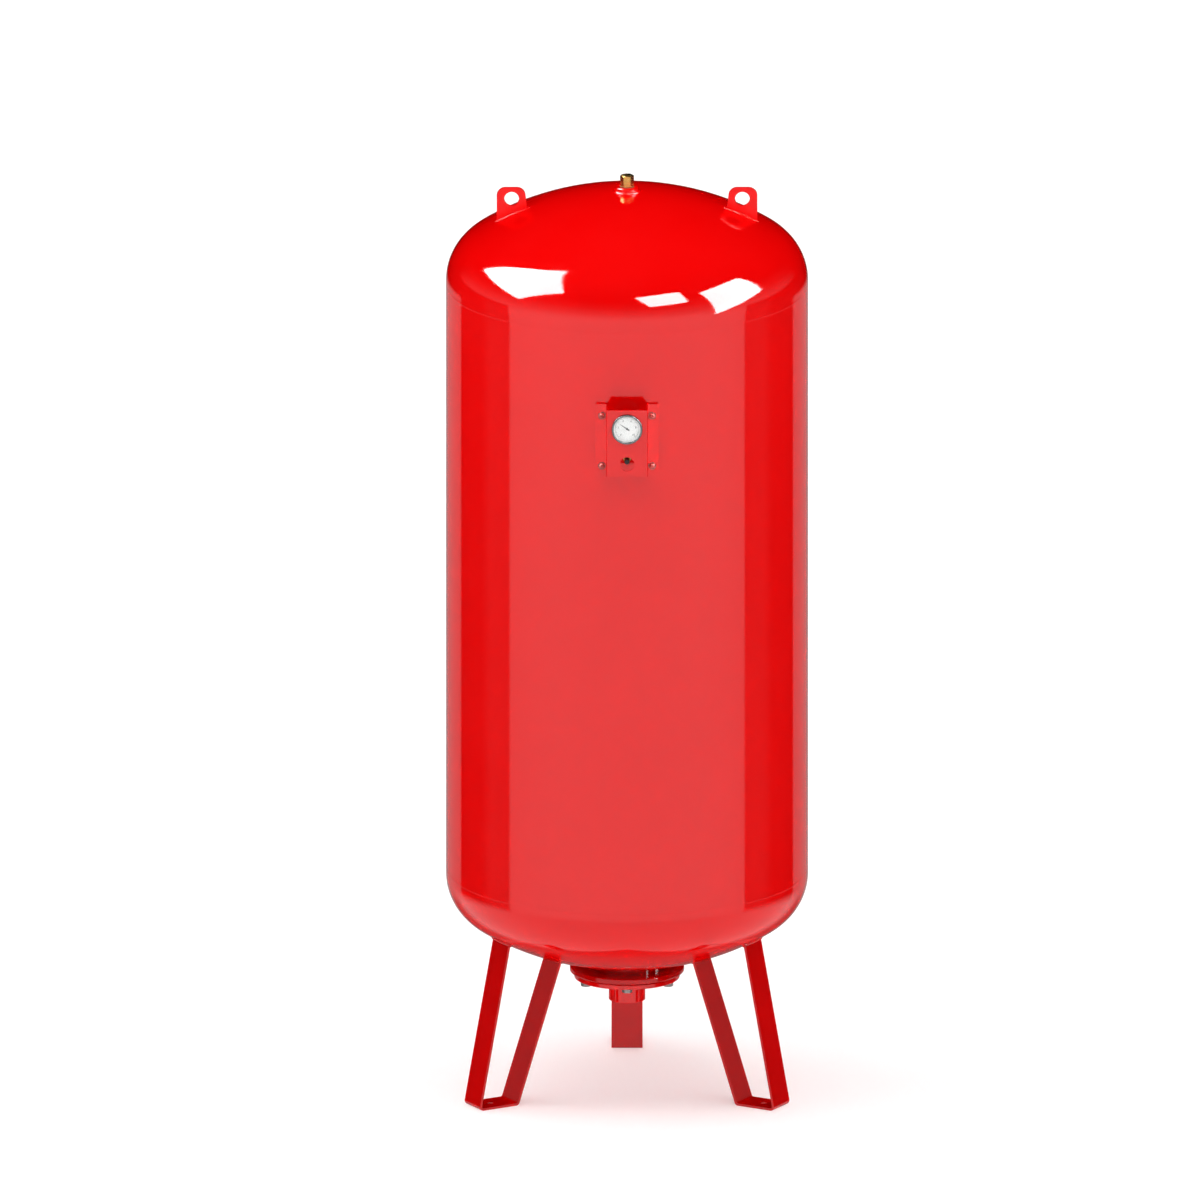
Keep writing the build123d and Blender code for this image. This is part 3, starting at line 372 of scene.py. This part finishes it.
def make_seams(materials):
    """Girth seams with a low, smooth crown that catches only a faint line of light."""
    rows = 12
    for node in ("bottom_seam_weld", "top_seam_weld"):
        low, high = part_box(node)
        outline = []
        for row in range(rows + 1):
            share = row / rows
            crown = SEAM_CROWN * sin(pi * share) ** 2
            outline.append((TANK_R + crown, high[2] - (high[2] - low[2]) * share))
        outline += [(TANK_R - WALL / 2, low[2]), (TANK_R - WALL / 2, high[2])]
        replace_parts(lathe(f"{node}_skin", outline, materials["red_paint"], "red_paint"), node)


# ---- welds ----
def bead_mesh(loops, width, height):
    """Rippled weld beads along closed loops of (point, outward normal)."""
    section = 10
    vertices = []
    faces = []
    for loop in loops:
        first = len(vertices)
        count = len(loop)
        travelled = 0.0
        for index, (point, normal) in enumerate(loop):
            before = loop[index - 1][0]
            after = loop[(index + 1) % count][0]
            travelled += (point - before).length if index else 0.0
            across = (after - before).cross(normal).normalized()
            ripple = 1.0 + 0.16 * abs(sin(pi * travelled / 0.0034)) + 0.05 * sin(travelled * 210.0)
            for corner in range(section):
                angle = tau * corner / section
                lift = sin(angle) * (height if sin(angle) > 0 else height * 0.5) * ripple
                vertices.append(point + across * (cos(angle) * width / 2) + normal * lift)
        for index in range(count):
            here = first + index * section
            there = first + (index + 1) % count * section
            for corner in range(section):
                after = (corner + 1) % section
                faces.append((here + corner, there + corner, there + after, here + after))
    return vertices, faces


def ring_loop(centre, axis, radius, outward, lean, spacing=0.0011):
    """Closed circle of bead points; the bead leans from radially outward towards outward."""
    side = axis.orthogonal().normalized()
    other = axis.cross(side)
    count = int(tau * radius / spacing)
    loop = []
    for step in range(count):
        angle = tau * step / count
        radial = side * cos(angle) + other * sin(angle)
        normal = (radial * cos(lean) + outward * sin(lean)).normalized()
        loop.append((centre + radial * radius, normal))
    return loop


def onto_sphere(point, direction, centre):
    """Where a line through point meets the crown's sphere, on the side nearest to point."""
    offset = point - centre
    b = offset.dot(direction)
    c = offset.length_squared - CROWN_R ** 2
    root = sqrt(b * b - c)
    near = min((-b - root, -b + root), key=abs)
    return point + direction * near


def foot_loop(middle, along, half_long, across, half_thick, onto, centre, spacing=0.0011):
    """Closed bead round a flat bar's rectangular foot, laid onto a crown."""
    corner_r = 0.0018
    corners = []
    for u, v, start in ((1, 1, 0), (-1, 1, 1), (-1, -1, 2), (1, -1, 3)):
        for step in range(5):
            angle = pi / 2 * (start + step / 4)
            corners.append((
                u * (half_long - corner_r) + corner_r * cos(angle),
                v * (half_thick - corner_r) + corner_r * sin(angle),
            ))
    loop = []
    for index, (u, v) in enumerate(corners):
        next_u, next_v = corners[(index + 1) % len(corners)]
        steps = max(1, int(sqrt((next_u - u) ** 2 + (next_v - v) ** 2) / spacing))
        for step in range(steps):
            share = step / steps
            a = u + (next_u - u) * share
            b = v + (next_v - v) * share
            point = onto_sphere(middle + along * a + across * b, onto, centre)
            out_a = max(-1, min(1, a / half_long)) ** 15
            out_b = max(-1, min(1, b / half_thick)) ** 3
            side = (along * out_a + across * out_b).normalized()
            normal = ((point - centre).normalized() + side).normalized()
            loop.append((point, normal))
    return loop


def leg_loops():
    """Bead loops where the six bars of the legs meet the bottom head."""
    bars = (
        (FOOT_OUTER_R - BAR_T / 2 / cos(OUTER_LEAN), OUTER_LEAN),
        (FOOT_INNER_R + BAR_T / 2 / cos(INNER_LEAN), INNER_LEAN),
    )
    half_long = BAR_W / 2 + BEAD_CLEAR
    half_thick = BAR_T / 2 + BEAD_CLEAR
    loops = []
    for azimuth in LEG_AZIMUTHS:
        turn = Matrix.Rotation(azimuth, 3, "Z")
        for foot_r, lean in bars:
            upward = turn @ Vector((-sin(lean), 0, cos(lean)))
            across = turn @ Vector((cos(lean), 0, sin(lean)))
            along = turn @ Vector((0, 1, 0))
            foot = turn @ Vector((foot_r, 0, 0))
            middle = foot + upward * LEG_TOP_REACH
            loops.append(
                foot_loop(middle, along, half_long, across, half_thick, upward, BOTTOM_CENTRE)
            )
    return loops


def lug_loops():
    """Bead loops round the feet of the two lifting lugs."""
    low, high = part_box("lifting_lug_right")
    middle_x = (LUG_INNER_R + high[0]) / 2
    half_long = (high[0] - LUG_INNER_R) / 2 + BEAD_CLEAR
    half_thick = high[1] + BEAD_CLEAR
    along = Vector((1, 0, 0))
    across = Vector((0, 1, 0))
    up = Vector((0, 0, 1))
    loops = []
    for side in (-1, 1):
        middle = Vector((side * middle_x, 0, TOP_TANGENT + HEAD_DEPTH * 0.8))
        loops.append(foot_loop(middle, along, half_long, across, half_thick, up, TOP_CENTRE))
    return loops


def make_welds(materials):
    """Painted, rippled beads in place of the plain CAD fillets."""
    red = materials["red_paint"]
    up = Vector((0, 0, 1))
    front = Vector((0, -1, 0))
    boss_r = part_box("top_boss")[1][0]
    neck_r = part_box("neck_pipe")[1][0]
    socket_low, socket_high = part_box("water_socket")
    boss_height = TOP_CENTRE.z + sqrt(CROWN_R ** 2 - boss_r ** 2)
    neck_height = BOTTOM_CENTRE.z - sqrt(CROWN_R ** 2 - neck_r ** 2)
    small = []
    for node in ("gauge_socket", "charge_socket"):
        low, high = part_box(node)
        radius = (high[0] - low[0]) / 2
        middle = Vector((0, -TANK_R - 0.0003, (low[2] + high[2]) / 2))
        small.append(ring_loop(middle, front, radius + 0.0006, front, radians(45)))
    boss = ring_loop(Vector((0, 0, boss_height)), up, boss_r + 0.001, up, radians(50))
    neck = ring_loop(Vector((0, 0, neck_height)), up, neck_r + 0.001, -up, radians(50))
    socket = ring_loop(Vector((0, 0, socket_high[2])), up, socket_high[0] + 0.0008, -up, radians(45))
    # the darker red on the leg and neck beads is painted shade
    legs = materials["shaded_red_paint"]
    lugs = materials["lug_paint"]
    beads = (
        ("leg_beads", "leg_welds", leg_loops(), 0.0065, 0.0022, legs),
        ("lug_beads", "lug_welds", lug_loops(), 0.0046, 0.0012, lugs),
        ("boss_bead", "top_boss_weld", [boss], 0.0075, 0.0026, red),
        ("neck_bead", "neck_weld", [neck], 0.0085, 0.0026, legs),
        ("water_socket_bead", "water_socket_weld", [socket], 0.0075, 0.0024, red),
        ("socket_beads", "socket_welds", small, 0.0045, 0.0014, red),
    )
    for name, node, loops, width, height, finish in beads:
        vertices, faces = bead_mesh(loops, width, height)
        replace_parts(mesh_piece(name, vertices, faces, finish, "red_paint", crease=60), node)


# ---- water connection thread ----
def make_socket_thread(materials):
    """Helical ridge of the female thread in the water socket."""
    low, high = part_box("water_socket")
    steps = 72
    turns = int((high[2] - low[2] - 0.004) / THREAD_PITCH)
    vertices = []
    faces = []
    for step in range(turns * steps + 1):
        angle = tau * step / steps
        height = low[2] + 0.002 + THREAD_PITCH * step / steps
        fade = min(1.0, step / steps, (turns * steps - step) / steps)
        for radius, lift in (
            (THREAD_BORE_R + 0.0001, -THREAD_PITCH * 0.46),
            (THREAD_BORE_R - THREAD_DEPTH * fade, 0),
            (THREAD_BORE_R + 0.0001, THREAD_PITCH * 0.46),
        ):
            vertices.append((radius * cos(angle), radius * sin(angle), height + lift))
    for step in range(turns * steps):
        here = step * 3
        for corner in range(3):
            after = (corner + 1) % 3
            faces.append((here + corner, here + after, here + 3 + after, here + 3 + corner))
    last = turns * steps * 3
    faces.append((2, 1, 0))
    faces.append((last, last + 1, last + 2))
    zinc = materials["zinc_steel"]
    return mesh_piece("water_socket_thread", vertices, faces, zinc, "zinc_steel", crease=25)


# ---- dial print ----
def dial_frame():
    """Centre of the dial's front face and its radius."""
    low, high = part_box("gauge_dial")
    return Vector(((low[0] + high[0]) / 2, low[1], (low[2] + high[2]) / 2)), (high[0] - low[0]) / 2


def scale_angle(value):
    """Direction of a scale value on the dial, in degrees anticlockwise from +X as seen from the front."""
    return SCALE_START - SCALE_SWEEP * value / SCALE_TOP


def printed_band(centre, inner, outer, start, end, steps):
    """A thin raised band between two radii and two angles, as vertices and faces."""
    vertices = []
    faces = []
    for step in range(steps + 1):
        angle = radians(start + (end - start) * step / steps)
        for radius, depth in ((inner, 0.0), (outer, 0.0), (outer, PRINT_T), (inner, PRINT_T)):
            vertices.append(centre + Vector((radius * cos(angle), -depth, radius * sin(angle))))
    for step in range(steps):
        here = step * 4
        for corner in range(4):
            after = (corner + 1) % 4
            faces.append((here + corner, here + after, here + 4 + after, here + 4 + corner))
    last = steps * 4
    faces.append((3, 2, 1, 0))
    faces.append((last, last + 1, last + 2, last + 3))
    return vertices, faces


def gather(bands):
    """Join several vertex and face lists into one."""
    vertices = []
    faces = []
    for more_vertices, more_faces in bands:
        shift = len(vertices)
        vertices.extend(more_vertices)
        faces.extend(tuple(index + shift for index in face) for face in more_faces)
    return vertices, faces


def make_dial_print(materials):
    """Scale line, ticks, numbers and limit mark."""
    black = materials["pointer_black"]
    centre, radius = dial_frame()
    rim = radius * SCALE_LINE
    bands = [printed_band(centre, rim - 0.0003, rim, scale_angle(0), scale_angle(SCALE_TOP), 90)]
    divisions = SCALE_TOP * 5
    for tick in range(divisions + 1):
        value = SCALE_TOP * tick / divisions
        major = tick % 5 == 0
        length = MAJOR_TICK_L if major else MINOR_TICK_L
        half = degrees((0.00032 if major else 0.00016) / rim)
        angle = scale_angle(value)
        bands.append(printed_band(centre, rim - length, rim - 0.0001, angle - half, angle + half, 1))
    mesh_piece("dial_scale", *gather(bands), black, "pointer_black")
    mark = scale_angle(LIMIT_VALUE)
    limit = printed_band(centre, rim + 0.0004, rim + 0.0022, mark - 2.2, mark + 2.2, 4)
    mesh_piece("dial_limit_mark", *limit, materials["limit_red"], "pointer_black")
    for value in range(0, SCALE_TOP + 1, NUMBER_STEP):
        make_number(value, centre, radius * NUMBER_LINE, black)


def make_number(value, centre, distance, material):
    """One number of the scale as a thin mesh."""
    text = bpy.data.curves.new(f"number_{value}", "FONT")
    text.body = str(value)
    text.size = NUMBER_SIZE
    text.align_x = "CENTER"
    text.align_y = "CENTER"
    text.extrude = PRINT_T / 2
    holder = bpy.data.objects.new(f"number_{value}_text", text)
    bpy.context.scene.collection.objects.link(holder)
    bpy.context.view_layer.update()
    mesh = bpy.data.meshes.new_from_object(holder)
    bpy.data.objects.remove(holder)
    angle = radians(scale_angle(value))
    spot = centre + Vector((distance * cos(angle), -PRINT_T / 2, distance * sin(angle)))
    mesh.transform(Matrix.Translation(spot) @ Matrix.Rotation(pi / 2, 4, "X"))
    mesh.materials.clear()
    mesh.materials.append(material)
    piece = bpy.data.objects.new(f"dial_number_{value}", mesh)
    bpy.context.scene.collection.objects.link(piece)
    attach(piece, "tank")


# ---- stage ----
def make_floor():
    """Large pale floor, which reflections don't show."""
    half = FLOOR_HALF
    corners = [(-half, -half, 0), (half, -half, 0), (half, half, 0), (-half, half, 0)]
    mesh = bpy.data.meshes.new("floor")
    mesh.from_pydata(corners, [], [(0, 1, 2, 3)])
    mesh.materials.append(
        surface(
            "floor_white", (0.60, 0.60, 0.60), (0.62, 0.62, 0.62), (0.7, 0.8), grain=3.0, bump=0.00002,
            bump_grain=60.0, sockets={"Emission Color": (1, 1, 1, 1), "Emission Strength": 0.42},
        )
    )
    floor = bpy.data.objects.new("floor", mesh)
    bpy.context.scene.collection.objects.link(floor)
    floor.visible_glossy = False


def direction(azimuth, elevation):
    """Unit vector from an azimuth, measured from the front towards +X, and an elevation, in degrees."""
    flat = cos(radians(elevation))
    return Vector((sin(radians(azimuth)) * flat, -cos(radians(azimuth)) * flat, sin(radians(elevation))))


def softbox(nodes, ray, azimuth, elevation, corners):
    """Four-cornered light in the reflected surroundings, as a mask of zero or one.

    Corners are (right, up) places on a plane one unit away, square to the light's direction."""
    middle = direction(azimuth, elevation)
    right = middle.cross(Vector((0, 0, 1))).normalized()
    up = right.cross(middle)
    rays = [middle + right * across + up * over for across, over in corners]
    mask = 1.0
    for index, corner in enumerate(rays):
        edge = corner.cross(rays[(index + 1) % len(rays)]).normalized()
        if edge.dot(middle) < 0:
            edge = -edge
        side = nodes.add("ShaderNodeVectorMath", {0: ray, 1: tuple(edge)}, operation="DOT_PRODUCT")
        inside = nodes.math("GREATER_THAN", side.outputs["Value"], 0.0)
        mask = nodes.math("MULTIPLY", inside, mask)
    return mask


def mix(nodes, factor, first, second):
    """Blend of two values."""
    values = {"Factor": factor, "A": first, "B": second}
    return nodes.add("ShaderNodeMix", values, data_type="FLOAT").outputs["Result"]


def make_room(nodes, facing, z):
    """Brightness of the studio seen in reflections: walls, floor and a dark ceiling."""
    height = nodes.math("ADD", nodes.math("MULTIPLY", z, 0.5), 0.5)
    wall = nodes.ramp(facing, (
        (0.0, 0.0), (0.36, 0.012), (0.44, 0.055), (0.575, 0.06), (0.583, 0.42),
        (0.67, 0.5), (0.85, 0.58), (1.0, 0.58),
    ))
    back = nodes.ramp(facing, ((0.0, 0.19), (0.155, 0.17), (0.162, 0.0), (1.0, 0.0)))
    level = nodes.ramp(height, ((0.0, 1.0), (0.370, 1.0), (0.392, 0.0), (1.0, 0.0)))
    wall = nodes.math("ADD", wall, nodes.math("MULTIPLY", back, level))
    glow = nodes.ramp(facing, ((0.0, 0.0), (0.12, 0.0), (0.25, 0.32), (0.5, 0.48), (1.0, 0.56)))
    above = nodes.ramp(height, ((0.0, 0.0), (0.495, 0.0), (0.525, 1.0), (1.0, 1.0)))
    wall = nodes.math("MAXIMUM", wall, nodes.math("MULTIPLY", glow, above))
    ground = nodes.ramp(facing, ((0.0, 0.05), (0.05, 0.05), (0.13, 0.40), (1.0, 0.42)))
    below = nodes.ramp(height, ((0.0, 1.0), (0.30, 1.0), (0.36, 0.0), (1.0, 0.0)))
    behind = nodes.math("POWER", nodes.math("SUBTRACT", 1.0, facing), 2.0)
    lifted = nodes.math("ADD", height, nodes.math("MULTIPLY", behind, 0.17))
    ceiling = nodes.ramp(lifted, (
        (0.0, 1.0), (0.49, 1.0), (0.52, 0.85), (0.60, 0.42), (0.70, 0.10), (0.80, 0.0),
    ))
    room = nodes.math("MULTIPLY", mix(nodes, below, wall, ground), ceiling)
    return nodes.math("MULTIPLY", room, ROOM_STRENGTH)


def make_world():
    """Sky light that is strongest overhead, and a studio with three softboxes in the reflections."""
    world = bpy.data.worlds.new("studio")
    bpy.context.scene.world = world
    world.use_nodes = True
    nodes = Nodes(world.node_tree)
    background = world.node_tree.nodes["Background"]
    ray = nodes.add("ShaderNodeTexCoord").outputs["Generated"]
    parts = nodes.add("ShaderNodeSeparateXYZ", {"Vector": ray})
    x, y, z = (parts.outputs[axis] for axis in "XYZ")
    flat = nodes.math("SQRT", nodes.math("ADD", nodes.math("MULTIPLY", x, x), nodes.math("MULTIPLY", y, y)))
    facing = nodes.math("MULTIPLY", y, -0.5)
    facing = nodes.math("DIVIDE", facing, nodes.math("MAXIMUM", flat, 0.001))
    facing = nodes.math("ADD", facing, 0.5)
    left = softbox(nodes, ray, -92, 43, ((0.55, -0.23), (0.31, 0.55), (-0.53, 0.18), (-0.32, -0.49)))
    middle = softbox(nodes, ray, 27, 39, ((0.19, -0.22), (0.26, 0.16), (-0.20, 0.23), (-0.25, -0.16)))
    right = softbox(nodes, ray, 78, 26, ((0.42, -0.52), (0.29, 0.32), (-0.31, 0.35), (-0.37, -0.19)))
    lit = nodes.math("ADD", nodes.math("ADD", left, middle), right)
    boxes = nodes.math("MULTIPLY", lit, SOFTBOX_STRENGTH)
    reflected = nodes.math("ADD", make_room(nodes, facing, z), boxes)
    overhead = nodes.math("POWER", nodes.math("MAXIMUM", z, 0.0), 2.0)
    sky = nodes.math("ADD", nodes.math("MULTIPLY", overhead, SKY_STRENGTH), SKY_LEAST)
    even = mix(nodes, nodes.math("LESS_THAN", z, 0.0), sky, BELOW_STRENGTH)
    mirror_ray = nodes.add("ShaderNodeLightPath").outputs["Is Glossy Ray"]
    nodes.tree.links.new(mix(nodes, mirror_ray, even, reflected), background.inputs["Strength"])
    background.inputs["Color"].default_value = (1, 1, 1, 1)


def make_lamp(name, place, target, size, power):
    """Soft area lamp that only lights: reflections show the studio instead."""
    data = bpy.data.lights.new(name, "AREA")
    data.shape = "DISK"
    data.size = size
    data.energy = power
    lamp = bpy.data.objects.new(name, data)
    bpy.context.scene.collection.objects.link(lamp)
    lamp.location = place
    lamp.rotation_euler = (Vector(target) - Vector(place)).to_track_quat("-Z", "Y").to_euler()
    lamp.visible_glossy = False
    lamp.visible_camera = False


def make_camera():
    """Parallel view from the front, a little from above."""
    data = bpy.data.cameras.new("camera")
    data.type = "ORTHO"
    data.ortho_scale = VIEW_WIDTH
    data.clip_end = 60.0
    camera = bpy.data.objects.new("camera", data)
    bpy.context.scene.collection.objects.link(camera)
    backward = Vector((0, -cos(VIEW_ELEVATION), sin(VIEW_ELEVATION)))
    upward = Vector((0, sin(VIEW_ELEVATION), cos(VIEW_ELEVATION)))
    camera.location = Vector((-AXIS_RIGHT, 0, 0)) + upward * FLOOR_BELOW + backward * CAMERA_DISTANCE
    camera.rotation_euler = (pi / 2 - VIEW_ELEVATION, 0, 0)
    bpy.context.scene.camera = camera


bpy.context.scene.view_settings.view_transform = "Standard"
make_camera()
make_world()
make_floor()
make_lamp("left_lamp", (-1.5, -0.9, 2.9), (0, 0, 1.5), 1.2, LEFT_LAMP_WATTS)
make_lamp("right_lamp", (1.5, -0.9, 2.8), (0, 0, 1.4), 1.2, RIGHT_LAMP_WATTS)
materials = make_materials()
paint_nodes(materials)
make_vessel(materials)
make_seams(materials)
make_welds(materials)
make_socket_thread(materials)
make_dial_print(materials)
